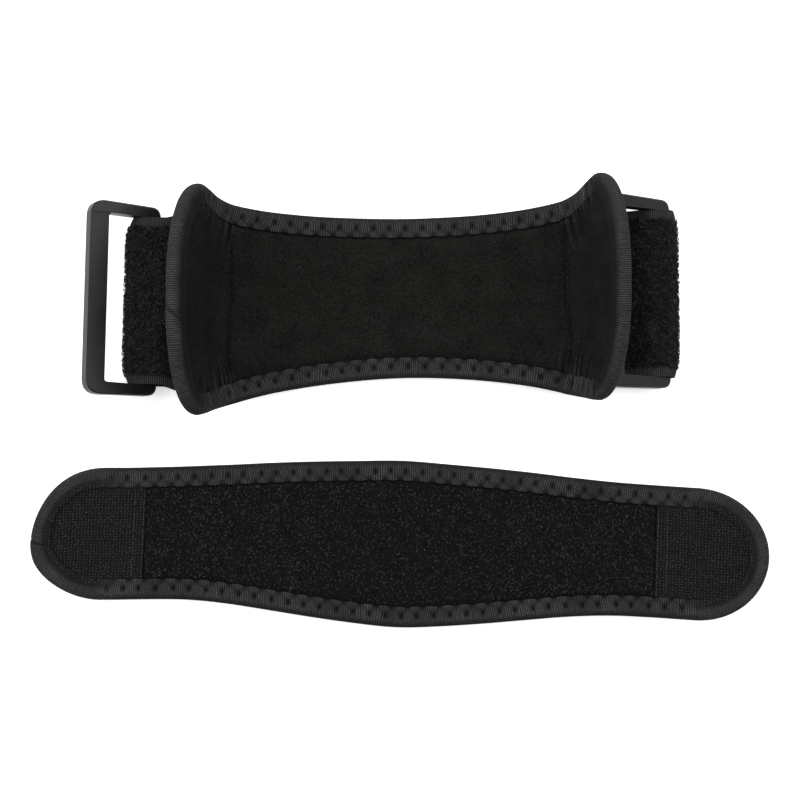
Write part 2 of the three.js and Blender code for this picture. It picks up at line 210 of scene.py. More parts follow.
# Tabs
TAB_HALF_WIDTH = 25.1
TAB_PILE_HALF = 22.6
TAB_ROOT_X = 46.5
TAB_CREASE_X = 52
TAB_SEWN_THICKNESS = 2.8
TAB_NECK_THICKNESS = 3.4
TAB_LOOP_HALF = 4.1
TAB_NECK_RUN = 12
TAB_LOOP_LEAD = 2.6
TAB_TAPE = 1.1
TAB_PILE = 0.6
TAB_PILE_PRESSED = 0.35  # under the pad, from which it rises over this run past the crease
TAB_PILE_RISE = 6
TAB_INNER = (1.35, 2.05)  # depth of the tape's inner side at most: at the crease, and past this run
TAB_INNER_RUN = 14
TAB_PILE_ROOTED = 0.1
TAB_PILE_FROM = 1.5  # past the crease on the underside, and short of the upper root
TAB_PILE_SHORT = 7
TAB_FLARES = (4, 9)  # distances from the ring's axis between which a tape widens
TAB_ROUND_FROM = 16  # the fold's corners are drawn in from this distance off the middle
TAB_ROUND_POWER = 2.5
TAB_GRID = (161, 51)
TAB_FOLD_POINTS = 40
TAB_NECK_POINTS = 20
SELVAGE_BLEND = 0.3
SELVAGE_SUNK = 0.07

# Each tab's direction, its fold and its ring's axis, how it lies askew (swing in degrees), how far the
# corners of its fold are drawn in, and the share by which it is wider at the pad than at its fold
Side = namedtuple("Side", "sign fold axis offset swing drawn flare")
SIDES = {
    "left": Side(sign=-1, fold=82.6, axis=74.5, offset=-0.7, swing=-2.05, drawn=1.8, flare=0.05),
    "right": Side(sign=1, fold=84.2, axis=78.7, offset=0.05, swing=-1.25, drawn=1.1, flare=0.0),
}

# Loose yarn and hooks: sizes of one loop, and how light the loops of a field are (beta distribution)
Loop = namedtuple("Loop", "height width radius steps sides sweep lean tones")
TAB_LOOP = Loop(0.62, 1.2, 0.105, 3, 3, math.pi, 0.35, (0.8, 1.9))
TAB_LOOP_COUNT = 5400
FIELD_LOOP = Loop(0.5, 0.6, 0.095, 3, 3, math.pi, 0.30, (0.55, 1.6))
FIELD_LOOP_COUNT = 10800
FIELD_LOOPS_FROM = 6.7  # distance of the outermost loops from the edge
HOOK_LOOP = Loop(0.45, 0.42, 0.12, 4, 3, 0.85 * math.pi, 0.1, (1.6, 1.8))
HOOK_PITCH = (0.95, 0.85)
HOOK_STRAY = 0.1
HOOKS_START = 0.6  # from the patch's straight edge
HOOKS_HALF = 18
HOOKS_FROM = 4.4  # distance of the outermost hooks from the edge, round the end and beside the seam
HOOKS_BESIDE_SEAM = BINDING_REACH + 0.6
HOOKS_ON_TAPE = BAND_BINDING_HALF - 0.3
YARN_FOOT = BAND_CORE_TOP + 0.75  # where the loops and hooks stand in the band's face
LINT_LOOP = Loop(0.10, 0.9, 0.05, 4, 3, math.pi, 0.5, (1.2, 2.2))
LOOP_HEIGHTS = (0.7, 1.25)  # shares of a loop's height and width
LOOP_WIDTHS = (0.6, 1.4)
LOOP_FOOT_SHADE = 0.3  # share of a loop's lightness at its foot, as painted shade down in the pile
FLOOR_CLEAR = 0.02
STRAIGHT_UP = np.array([[0.0, 0.0, 1.0]])

# Straight stitches
STITCH_PITCH = 2.1
STITCH_LENGTH = 1.5
STITCH_POINTS = 6
STITCH_ARCH = 0.22
STITCH_SUNK = 0.08
PATCH_SEAMS_AT = (-79.2, -76.4, 76.4, 79.2)
PATCH_SEAM_HALF = 12.6

# Softened edges of the rings, the angle in degrees
RING_BEVEL = 0.25
RING_BEVEL_STEPS = 2
RING_BEVEL_ANGLE = 25

# Layout of the two halves in the frame, turns in degrees
PAD_CENTRE = (-0.4, 31.84)
PAD_TURN = 1.1
BAND_CENTRE = (0.0, -41.76)
BAND_TURN = -2.2

# Light and camera, in metres, the tilt in degrees
FLOOR_SIZE = 8
FLOOR_GLOW = 0.45  # light from the white surface itself, which keeps the shadows on it faint
SKY_LIGHT = 0.55
SKY_RISES = (-0.1, 0.2)  # heights in the sky between which its light comes up
CAMERA_DISTANCE = 0.70
CAMERA_FIELD = 0.240  # width that the picture shows at the target
CAMERA_TILT = 6
CAMERA_TARGET = (0, 0.0014, 0)
SENSOR_WIDTH = 36  # in millimetres


# Numbers

def smoothstep(low, high, value):
    t = np.clip((value - low) / (high - low), 0, 1)
    return t * t * (3 - 2 * t)


def mix(start, end, share):
    return start + (end - start) * share


def bell(value, width):
    return np.exp(-0.5 * (value / width) ** 2)


def raised(ridge, away):
    return ridge.height * bell(away - ridge.at, ridge.width)


def uneven(waves, x, y=0.0, seed=SEED):
    """Smooth noise: the sum of plane waves in many directions."""
    rng = np.random.default_rng(seed + waves.seed)
    total = np.zeros(np.broadcast(x, y).shape)
    for _ in range(waves.count):
        turn, phase = rng.uniform(0, 2 * math.pi, 2)
        pace = 2 * math.pi / (waves.length * rng.uniform(*WAVE_SPREAD))
        total += np.cos(pace * (x * math.cos(turn) + y * math.sin(turn)) + phase)
    return waves.height * total * math.sqrt(2 / waves.count) / WAVE_PEAK


def crowded(count):
    """Numbers from -1 to 1, closer together towards both ends."""
    return np.sin(np.linspace(-1, 1, count) * math.pi / 2)


def running_total(steps):
    return np.concatenate([[0], np.cumsum(steps)])


def unit(vectors):
    return vectors / np.maximum(np.linalg.norm(vectors, axis=-1, keepdims=True), 1e-12)


def smooth_widths(rows, s):
    """Half widths at the distances s, on a smooth curve through rows of distance and half width."""
    along, half = np.array(rows, float).T
    slope = np.gradient(half, along)
    slope[0] = 0
    k = np.clip(np.searchsorted(along, s, side="right") - 1, 0, len(along) - 2)
    span = along[k + 1] - along[k]
    t = (s - along[k]) / span
    start = (1 + 2 * t) * (1 - t) ** 2 * half[k] + t * (1 - t) ** 2 * span * slope[k]
    end = t * t * (3 - 2 * t) * half[k + 1] + t * t * (t - 1) * span * slope[k + 1]
    return start + end


# Places on the two halves

def turned(x, y, degrees, centre):
    c, s = math.cos(math.radians(degrees)), math.sin(math.radians(degrees))
    return x * c - y * s + centre[0], x * s + y * c + centre[1]


def pad_profile():
    """Distance from the middle, and the middle surface's place and slope there, on a fine table."""
    lengths, turns = np.array(PAD_PROFILE, float).T
    knots = running_total(lengths)
    angles = np.radians(running_total(turns))
    s = np.linspace(0, knots[-1], PAD_PROFILE_POINTS)
    slope = np.interp(s, knots, angles)
    step = s[1]
    x = running_total((np.cos(slope[1:]) + np.cos(slope[:-1])) / 2 * step)
    z = running_total((np.sin(slope[1:]) + np.sin(slope[:-1])) / 2 * step)
    return s, x, z + PAD_CORE_BOTTOM, slope


PROFILE = pad_profile()


def on_pad(s, y, height):
    """Points of the frame for a place on the pad's flat pattern and a height over its middle surface."""
    table_s, table_x, table_z, table_slope = PROFILE
    side = np.sign(s)
    on_flap = smoothstep(PAD_CREASE_AT, PAD_WIDEST_AT, np.abs(s))
    away = np.abs(s) + PAD_SKEW * np.maximum(side * y, 0) * on_flap
    slope = np.interp(away, table_s, table_slope)
    x = side * (np.interp(away, table_s, table_x) - height * np.sin(slope))
    z = np.interp(away, table_s, table_z) + height * np.cos(slope)
    bow = PAD_SAG * np.minimum(1, (s / PAD_CREASE_AT) ** 2) * (1 - PAD_LEAN_BACK * on_flap)
    widen = 1 - PAD_UNEVEN * np.tanh(s / PAD_UNEVEN_OVER)
    x, y = turned(x, y * widen - bow + side * PAD_TWIST * on_flap, PAD_TURN, PAD_CENTRE)
    return np.stack(np.broadcast_arrays(x, y, z), axis=-1)


def on_band(s, y, height):
    """Points of the frame for a place on the band's flat pattern and a height over its middle."""
    bow = BAND_BOW * np.sin(math.pi * s / BAND_HALF_LENGTH) ** 2
    tip = np.maximum(-s - BAND_WIDTHS[-1][0], 0) / BAND_END_ROUND
    droop = BAND_LEFT_DROOP * smoothstep(*BAND_LEFT_DROOPS, -s) + BAND_TIP_DROOP * tip ** 4
    x, y = turned(s, y + bow - droop, BAND_TURN, BAND_CENTRE)
    return np.stack(np.broadcast_arrays(x, y, BAND_MID_HEIGHT + height), axis=-1)


def on_tab(side, x, y, z):
    """Points of the frame for a place on a tab, with x outwards from the pad's middle."""
    crease = (side.sign * TAB_CREASE_X, side.offset)
    x, y = turned(side.sign * (x - TAB_CREASE_X), y, side.swing, crease)
    x, y = turned(x, y, PAD_TURN, PAD_CENTRE)
    return np.stack(np.broadcast_arrays(x, y, z), axis=-1)


class Outline:
    """The edge of a half, counter-clockwise from the right end's middle, with points at even steps."""

    END_POINTS = 300  # of the fine quarter that the even steps are taken from
    SIDE_POINTS = 900

    def __init__(self, widths, end_round, spacing):
        end_start, end_half = widths[-1]
        angle = np.linspace(0, math.pi / 2, self.END_POINTS)
        end = np.stack([end_start + end_round * np.cos(angle), end_half * np.sin(angle)], axis=1)
        s = np.linspace(end_start, 0, self.SIDE_POINTS)[1:]
        quarter = np.concatenate([end, np.stack([s, smooth_widths(widths, s)], axis=1)])
        upper = np.concatenate([quarter, (quarter * [-1, 1])[::-1][1:]])
        whole = np.concatenate([upper, (upper * [1, -1])[::-1][1:]])
        along = running_total(np.linalg.norm(np.diff(whole, axis=0), axis=1))
        self.length = along[-1]
        self.count = round(self.length / spacing)
        self.along = np.arange(self.count) * self.length / self.count
        self.points = np.stack([np.interp(self.along, along, whole[:, k]) for k in range(2)], axis=1)
        self.tangent = unit(np.roll(self.points, -1, axis=0) - np.roll(self.points, 1, axis=0))
        self.inward = np.stack([-self.tangent[:, 1], self.tangent[:, 0]], axis=1)

    def index(self, along):
        return np.round(along / self.length * self.count).astype(int) % self.count

    def inset(self, along, inset):
        """Places in the flat pattern at distances along the edge and inwards from it."""
        k = self.index(along)
        return self.points[k] + self.inward[k] * inset[..., None]

    def nearest(self, s, y):
        """For places in the flat pattern, the distance along the edge and the distance from it."""
        tree = KDTree(self.count)
        for index, (px, py) in enumerate(self.points):
            tree.insert((px, py, 0), index)
        tree.balance()
        found = [tree.find((px, py, 0)) for px, py in zip(s.ravel(), y.ravel())]
        along = np.array([self.along[index] for _, index, _ in found])
        away = np.array([distance for _, _, distance in found])
        return along.reshape(s.shape), away.reshape(s.shape)

    def half_width(self, s, inset):
        """Half width of the pattern at s, when its edge is moved inwards."""
        moved = self.points + self.inward * inset
        upper = moved[: self.count // 2 + 1]
        return np.interp(s, upper[::-1, 0], upper[::-1, 1])

    def grid(self, tuck, rows, columns):
        """Places all over the pattern up to that distance from its edge, closer together towards it."""
        s = (self.points[0, 0] - tuck) * crowded(rows)
        y = self.half_width(s, tuck)[:, None] * crowded(columns)
        return np.broadcast_to(s[:, None], y.shape), y


# Meshes

def grid_faces(rows, columns, wrap_rows=False, wrap_columns=False):
    r = np.arange(rows if wrap_rows else rows - 1)
    c = np.arange(columns if wrap_columns else columns - 1)
    near, far = r[:, None] * columns, ((r + 1) % rows)[:, None] * columns
    after = (c + 1) % columns
    return np.stack([near + c, near + after, far + after, far + c], axis=-1).reshape(-1, 4)


def slab_faces(rows, columns):
    """Faces of a slab with closed ends. Each row runs over its upper side and back along its lower."""
    j = np.arange(columns // 2 - 1)
    cap = np.stack([j, j + 1, columns - 2 - j, columns - 1 - j], axis=-1)
    ends = np.concatenate([cap[:, ::-1], cap + (rows - 1) * columns])
    return np.concatenate([grid_faces(rows, columns, wrap_columns=True), ends])


def make_piece(name, points, faces, material, body="strap", flip=False, **values):
    """A piece from points in millimetres. values are numbers for each point, kept as attributes."""
    mesh = bpy.data.meshes.new(name)
    ordered = faces[:, ::-1] if flip else faces
    mesh.from_pydata((points.reshape(-1, 3) * MM).tolist(), [], ordered.tolist())
    mesh.shade_smooth()
    for label, numbers in values.items():
        attribute = mesh.attributes.new(label, "FLOAT", "POINT")
        attribute.data.foreach_set("value", np.ascontiguousarray(numbers, np.float32).ravel())
    mesh.materials.append(material)
    piece = bpy.data.objects.new(name, mesh)
    bpy.context.scene.collection.objects.link(piece)
    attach(piece, body)
    return piece


def make_slab(name, place, s, y, top, bottom, material, **values):
    """A closed layer between two heights over a flat pattern. values are those of its upper side."""
    both_s = np.concatenate([s, s[:, ::-1]], axis=1)
    both_y = np.concatenate([y, y[:, ::-1]], axis=1)
    height = np.concatenate([top, bottom[:, ::-1]], axis=1)
    below = np.zeros(bottom.shape)
    both = {label: np.concatenate([numbers, below], axis=1) for label, numbers in values.items()}
    points = place(both_s, both_y, height)
    return make_piece(name, points, slab_faces(*height.shape), material, flip=True, **both)


def tubes(paths, up, radius, sides):
    """Round yarns along paths of an equal number of points. up is a rough normal for each path."""
    ahead = unit(np.gradient(paths, axis=1))
    across = unit(np.cross(ahead, up[:, None, :]))
    over = np.cross(across, ahead)
    turn = np.arange(sides) * 2 * math.pi / sides
    ring = across[:, :, None, :] * np.cos(turn)[:, None] + over[:, :, None, :] * np.sin(turn)[:, None]
    points = paths[:, :, None, :] + ring * radius
    count, steps = paths.shape[:2]
    faces = grid_faces(steps, sides, wrap_columns=True)
    faces = faces[None] + (np.arange(count) * steps * sides)[:, None, None]
    return points, faces.reshape(-1, 4)


def arches(base, normal, heading, height, width, lean, steps, sweep):
    """Paths of small loops that stand on a surface, bent over by lean in their own plane's normal."""
    side = np.cross(normal, heading)
    t = np.linspace(0, sweep, steps + 1)[None, :, None]
    flat = -np.cos(t) * (width / 2)[:, None, None] * heading[:, None, :]
    rise = np.sin(t) * height[:, None, None] * normal[:, None, :]
    bend = np.sin(t) ** 2 * lean[:, None, None] * side[:, None, :]
    return base[:, None, :] + flat + rise + bend


def make_threads(name, paths, up, radius, material, tones, seed):
    """Sewing thread along these paths, each of its own tone."""
    points, faces = tubes(paths, up, radius, THREAD_SIDES)
    tone = np.random.default_rng(seed).uniform(*tones, len(paths))
    piece = make_piece(name, points, faces, material, tone=np.repeat(tone, points[0].size // 3))


def make_loops(name, base, up, loop, material, seed):
    """Loops of loose yarn at these places, each turned its own way and lighter towards its top, as
    painted light and shade.
    """
    rng = np.random.default_rng(seed)
    count = len(base)
    any_way = unit(rng.normal(size=(count, 3)))
    heading = unit(any_way - up * np.sum(any_way * up, axis=1, keepdims=True))
    heights = loop.height * rng.uniform(*LOOP_HEIGHTS, count)
    widths = loop.width * rng.uniform(*LOOP_WIDTHS, count)
    leans = loop.lean * rng.normal(size=count)
    paths = arches(base, up, heading, heights, widths, leans, loop.steps, loop.sweep)
    points, faces = tubes(paths, up, loop.radius, loop.sides)
    points[..., 2] = np.maximum(points[..., 2], FLOOR_CLEAR)
    own = rng.beta(*loop.tones, count)
    climb = np.sin(np.linspace(0, loop.sweep, loop.steps + 1))
    # painted shade at each loop's foot, painted light towards its top
    tone = np.clip(own[:, None] * mix(LOOP_FOOT_SHADE, 1, climb), 0, 1)
    piece = make_piece(name, points, faces, material, tone=np.repeat(tone.ravel(), loop.sides))
    return piece


# Materials

class Shading:
    """A node material, and short ways to add the nodes that its patterns need."""

    NOISE_SPAN = (0.3, 0.7)  # where most of a noise lies
    ROW_SPAN = (0.35, 0.65)  # the same for noise of one number

    def __init__(self, name, colour, roughness, specular):
        self.material = bpy.data.materials.new(name)
        self.material.use_nodes = True
        self.tree = self.material.node_tree
        self.shader = self.tree.nodes["Principled BSDF"]
        self.drive("Base Color", (*colour, 1))
        self.drive("Roughness", roughness)
        self.drive("Specular IOR Level", specular)
        self.place = self.node("ShaderNodeTexCoord").outputs["Object"]

    def feed(self, socket, source):
        """Gives a socket its value, or links another node's output to it."""
        if isinstance(source, bpy.types.NodeSocket):
            self.tree.links.new(source, socket)
        else:
            socket.default_value = source

    def drive(self, label, source):
        self.feed(self.shader.inputs[label], source)

    def node(self, kind, inputs=None, **settings):
        made = self.tree.nodes.new(kind)
        for label, value in settings.items():
            setattr(made, label, value)
        for label, source in (inputs or {}).items():
            self.feed(made.inputs[label], source)
        return made

    def noise(self, size_mm, detail=2):
        """Noise with features of about that size."""
        inputs = {"Vector": self.place, "Scale": 1 / (size_mm * MM), "Detail": detail}
        return self.node("ShaderNodeTexNoise", inputs).outputs["Fac"]

    def noise_along(self, number, size, detail=0):
        """Noise of one number, with features of about that size."""
        inputs = {"W": number, "Scale": 1 / size, "Detail": detail}
        return self.node("ShaderNodeTexNoise", inputs, noise_dimensions="1D").outputs["Fac"]

    def value(self, label):
        return self.node("ShaderNodeAttribute", attribute_name=label).outputs["Fac"]

    def ribs(self):
        """A tape's cross ribs, counted by the attribute rib: 0 in a groove, about 1 on a crest."""
        number = self.value("rib")
        strength = self.range(self.noise_along(number, 1), *self.ROW_SPAN, 0.7, 1.1)
        wave = self.math("COSINE", self.math("MULTIPLY", number, 2 * math.pi))
        return self.math("MULTIPLY", self.range(wave, -1, 1, 0, 1), strength)

    def ramp(self, source, stops):
        """A colour for a number: stops of position and colour."""
        made = self.node("ShaderNodeValToRGB", {"Fac": source})
        elements = made.color_ramp.elements
        while len(elements) < len(stops):
            elements.new(0.5)
        for element, (position, colour) in zip(elements, stops):
            element.position = position
            element.color = (*colour, 1)
        return made.outputs["Color"]

    def range(self, source, low, high, to_low, to_high):
        inputs = {"Value": source, "From Min": low, "From Max": high, "To Min": to_low, "To Max": to_high}
        return self.node("ShaderNodeMapRange", inputs).outputs["Result"]

    def spread(self, noise, low, high):
        """Noise that mostly lies between these limits."""
        return self.range(noise, *self.NOISE_SPAN, low, high)

    def math(self, operation, a, b=0.0):
        return self.node("ShaderNodeMath", {0: a, 1: b}, operation=operation).outputs["Value"]

    def scaled(self, colour, factor):
        """A colour multiplied by a number."""
        inputs = {"Vector": colour, "Scale": factor}
        return self.node("ShaderNodeVectorMath", inputs, operation="SCALE").outputs["Vector"]

    def bump(self, height, depth_mm, strength):
        inputs = {"Height": height, "Distance": depth_mm * MM, "Strength": strength}
        self.drive("Normal", self.node("ShaderNodeBump", inputs).outputs["Normal"])


def lining_material():
    look = Shading("brushed_lining", (0.0068, 0.0064, 0.0058), 0.95, 0.06)
    knit = look.noise(0.5, 3)
    mottle = look.noise(7, 3)
    both = look.math("ADD", look.spread(knit, 0.0, 0.75), look.spread(mottle, 0.0, 0.25))
    colour = look.ramp(both, [(0.15, (0.0022, 0.0021, 0.0019)), (0.85, (0.0108, 0.0102, 0.0094))])
    # Painted light and shade of the tucks where the flaps bend up, and painted shade in the seam's crease
    tuck = look.noise_along(look.value("edge_along"), TUCK_SPACING, 1)
    swing = look.range(tuck, *look.ROW_SPAN, -0.9, 1.5)
    tucked = look.math("ADD", 1, look.math("MULTIPLY", swing, look.value("gather")))
    crease_shade = look.range(look.value("crease"), 0, 1, 1, 0.45)
    look.drive("Base Color", look.scaled(colour, look.math("MULTIPLY", tucked, crease_shade)))
    look.bump(knit, 0.14, 0.8)
    return look.material


def binding_material():
    look = Shading("ribbed_elastic", (0.022, 0.0215, 0.0205), 0.8, 0.10)
    yarn = look.noise(0.35, 2)
    wear = look.noise(5, 2)
    rib = look.ribs()
    # Painted light on the ribs' crests and painted shade in their grooves, over the tone in crest
    lit = look.math("MULTIPLY", look.value("crest"), look.range(rib, 0, 1, 0.3, 1.7))
    groove, mean, crest = (0.0030, 0.0029, 0.0027), (0.0155, 0.0151, 0.0144), (0.052, 0.0508, 0.0482)
    colour = look.ramp(lit, [(0.0, groove), (0.45, mean), (1.0, crest)])
    fine = look.spread(yarn, 0.65, 1.35)
    broad = look.spread(wear, 0.85, 1.15)
    look.drive("Base Color", look.scaled(colour, look.math("MULTIPLY", fine, broad)))
    look.bump(yarn, 0.06, 0.6)
    return look.material


def between(dark, light):
    return tuple((a + b) / 2 for a, b in zip(dark, light))


def yarn_material(name, dark, light, roughness, specular):
    """Loose yarn: each strand has its own tone, lighter towards the top of its loop as painted light and
    shade.
    """
    look = Shading(name, between(dark, light), roughness, specular)
    look.drive("Base Color", look.ramp(look.value("tone"), [(0.0, dark), (1.0, light)]))
    return look.material


def tape_material(name, dark, light):
    """Woven ground of a tape, with cross ribs where the attribute bare says that nothing covers it."""
    look = Shading(name, between(dark, light), 0.9, 0.06)
    weave = look.noise(0.45, 2)
    mottle = look.noise(3, 2)
    both = look.math("ADD", look.spread(weave, 0.0, 0.65), look.spread(mottle, 0.0, 0.35))
    # painted light on the bare ribs' crests and painted shade in their grooves
    rib = look.math("MULTIPLY", look.value("bare"), look.ribs())
    tone = look.math("ADD", look.math("MULTIPLY", both, 0.45), look.math("MULTIPLY", rib, 0.75))
    look.drive("Base Color", look.ramp(tone, [(0.1, dark), (0.9, light)]))
    look.bump(look.math("ADD", weave, rib), 0.15, 0.8)
    return look.material


def plastic_material():
    look = Shading("moulded_plastic", (0.008, 0.0078, 0.0075), 0.36, 0.18)
    grain = look.noise(0.25, 2)
    cloud = look.noise(6, 3)
    dark, light = (0.006, 0.0058, 0.0056), (0.010, 0.0098, 0.0094)
    look.drive("Base Color", look.ramp(cloud, [(0.3, dark), (0.7, light)]))
    look.drive("Roughness", look.spread(cloud, 0.32, 0.42))
    look.bump(grain, 0.02, 0.5)
    return look.material


def floor_material():
    look = Shading("pale_floor", (0.9, 0.9, 0.9), 0.9, 0.2)
    dull, bright = (0.895, 0.895, 0.895), (0.905, 0.905, 0.905)
    look.drive("Base Color", look.ramp(look.noise(40), [(0.3, dull), (0.7, bright)]))
    look.drive("Emission Color", (1, 1, 1, 1))
    look.drive("Emission Strength", FLOOR_GLOW)
    return look.material


LINING = lining_material()
ELASTIC = binding_material()
PILE_GROUND = tape_material("pile_tape_ground", (0.003, 0.003, 0.0029), (0.042, 0.0416, 0.0408))
PILE_YARN = yarn_material("pile_yarn", (0.0030, 0.0030, 0.0029), (0.058, 0.0575, 0.056), 0.7, 0.12)
LOOP_GROUND = tape_material("loop_ground", (0.0024, 0.0021, 0.0023), (0.0116, 0.0106, 0.0112))
LOOP_YARN = yarn_material("loop_yarn", (0.0038, 0.0035, 0.0038), (0.068, 0.063, 0.066), 0.6, 0.15)
HOOK_GROUND = tape_material("hook_tape_ground", (0.0044, 0.0044, 0.0041), (0.0175, 0.0173, 0.0164))
HOOK_YARN = yarn_material("hook_filament", (0.006, 0.006, 0.0057), (0.062, 0.0615, 0.059), 0.4, 0.3)
THREAD = yarn_material("sewing_thread", (0.006, 0.0059, 0.0057), (0.016, 0.0157, 0.0151), 0.7, 0.1)
STITCH = yarn_material("stitch_thread", (0.006, 0.0058, 0.0059), (0.045, 0.0435, 0.0442), 0.6, 0.2)
LINT = yarn_material("lint", (0.015, 0.0149, 0.0145), (0.07, 0.0695, 0.068), 0.9, 0.1)
PLASTIC = plastic_material()
FLOOR = floor_material()


# Seam of the binding

class Seam:
    """The zigzag seam along an outline, with needle holes in the binding's middle and notches at its
    inner edge. It sinks into the tape round the ends."""

    def __init__(self, outline, ends_at, lap_at, seed):
        rng = np.random.default_rng(seed)
        self.outline = outline
        self.ends_at = ends_at
        self.lap_at = outline.length / 2 + lap_at
        self.length = outline.length
        count = round(self.length / HOLE_PITCH)
        stray = rng.uniform(-HOLE_STRAY, HOLE_STRAY, count)
        self.holes = (np.arange(count) + 0.5 + stray) * self.length / count

    def on_end(self, along):
        """0 between the ends and 1 round them."""
        s = self.outline.points[self.outline.index(along), 0]
        return smoothstep(self.ends_at - ENDS_OVER, self.ends_at + ENDS_OVER, np.abs(s))

    def since_hole(self, along):
        """Share of the way from the last needle hole to the next, and the distance between the two."""
        ring = np.concatenate([[self.holes[-1] - self.length], self.holes, [self.holes[0] + self.length]])
        k = np.clip(np.searchsorted(ring, along, side="right") - 1, 0, len(ring) - 2)
        span = ring[k + 1] - ring[k]
        return (along - ring[k]) / span, span

    def shape(self, along, inset):
        """How strongly each place is in a hole, in a notch, in the thread's groove and on a lobe."""
        phase, span = self.since_hole(along)
        to_hole = np.minimum(phase, 1 - phase) * span
        to_notch = np.abs(phase - NOTCH_LEAD) * span
        rise = BINDING_REACH - HOLE_INSET
        up = HOLE_INSET + rise * phase / NOTCH_LEAD
        down = HOLE_INSET + rise * (1 - phase) / (1 - NOTCH_LEAD)
        line = np.where(phase < NOTCH_LEAD, up, down)
        run = np.where(phase < NOTCH_LEAD, NOTCH_LEAD, 1 - NOTCH_LEAD) * span
        off_line = (inset - line) * run / np.hypot(run, rise)
        shown = 1 - self.on_end(along)
        hole = shown * bell(np.hypot(to_hole, HOLE_SQUASH * (inset - HOLE_INSET)), HOLE_SIZE)
        notch = shown * bell(to_notch, NOTCH_SIZE[0]) * bell(inset - BINDING_REACH, NOTCH_SIZE[1])
        groove = shown * bell(off_line, GROOVE_WIDTH)
        lobe = 1 - shown * bell(to_notch, LOBE_GAP)
        return hole, notch, groove, lobe


def binding_top(seam, along, inset, half):
    """Height of the binding's face over the middle surface, without its ribs."""
    hole, notch, groove, lobe = seam.shape(along, inset)
    pillow = PILLOW * lobe * smoothstep(*PILLOW_RISES, inset)
    sunk = HOLE_DEPTH * hole + NOTCH_DEPTH * notch + GROOVE_DEPTH * groove
    return half - FACE_SINK + pillow - sunk


def section_of(half):
    """The binding's section from its lower inner edge round the nose to its upper inner edge: inset,
    height, outward direction, and the distance round the section from the nose's middle."""
    on_face, on_back, on_nose = SECTION_POINTS
    face = np.linspace(BINDING_REACH, BINDING_NOSE, on_face)
    back = np.linspace(BINDING_REACH, BINDING_NOSE, on_back)
    angle = np.linspace(-math.pi / 2, math.pi / 2, on_nose)[1:-1]
    inset = np.concatenate([back, BINDING_NOSE * (1 - np.cos(angle)), face[::-1]])
    height = np.concatenate([np.full(len(back), -half), half * np.sin(angle), np.full(len(face), half)])
    out_inset = np.concatenate([np.zeros(len(back)), -np.cos(angle), np.zeros(len(face))])
    out_height = np.concatenate([-np.ones(len(back)), np.sin(angle), np.ones(len(face))])
    across = running_total(np.hypot(np.diff(inset), np.diff(height)))
    across = across - np.interp(0, height, across)
    return inset, height, out_inset, out_height, across


def knit(along, across, on_end, seed):
    """Tone of the tape under its ribs: mottled, with painted shade over the fold, worn pale there round
    the ends.
    """
    mottle = TAPE_TONE + uneven(TAPE_MOTTLE, along, across, seed)
    # painted shade over the fold, which turns away from the light
    fold = 1 - smoothstep(*FOLD_DARK, np.abs(across))
    tone = mottle * (1 - FOLD_PAINTED_SHADE * fold * (1 - on_end))
    worn = WORN_SHARE * on_end * bell(across, WORN_WIDTH)
    return np.clip(mix(tone, WORN_TONE, worn), 0, 1)


def rib_number(along, across, length, seed):
    """Which rib each place is on, counted along the edge. The ribs lean to and fro and drift a little."""
    count = round(length / RIB_PITCH)
    lean = uneven(RIB_LEAN, along, seed=seed)
    drift = uneven(RIB_DRIFT, along, across, seed)
    return (along + lean * np.abs(across)) * count / length + drift


def lap(seam, along, across):
    """Where one end of the tape lies over the other at the left end: how much, and its cut edge."""
    past = along - seam.lap_at - LAP_SLANT * across
    over = smoothstep(-LAP_EDGE, LAP_EDGE, past) * (1 - smoothstep(*LAP_FADES, past))
    return over * (1 - smoothstep(*LAP_ACROSS, across)), bell(past + LAP_CUT, LAP_CUT)


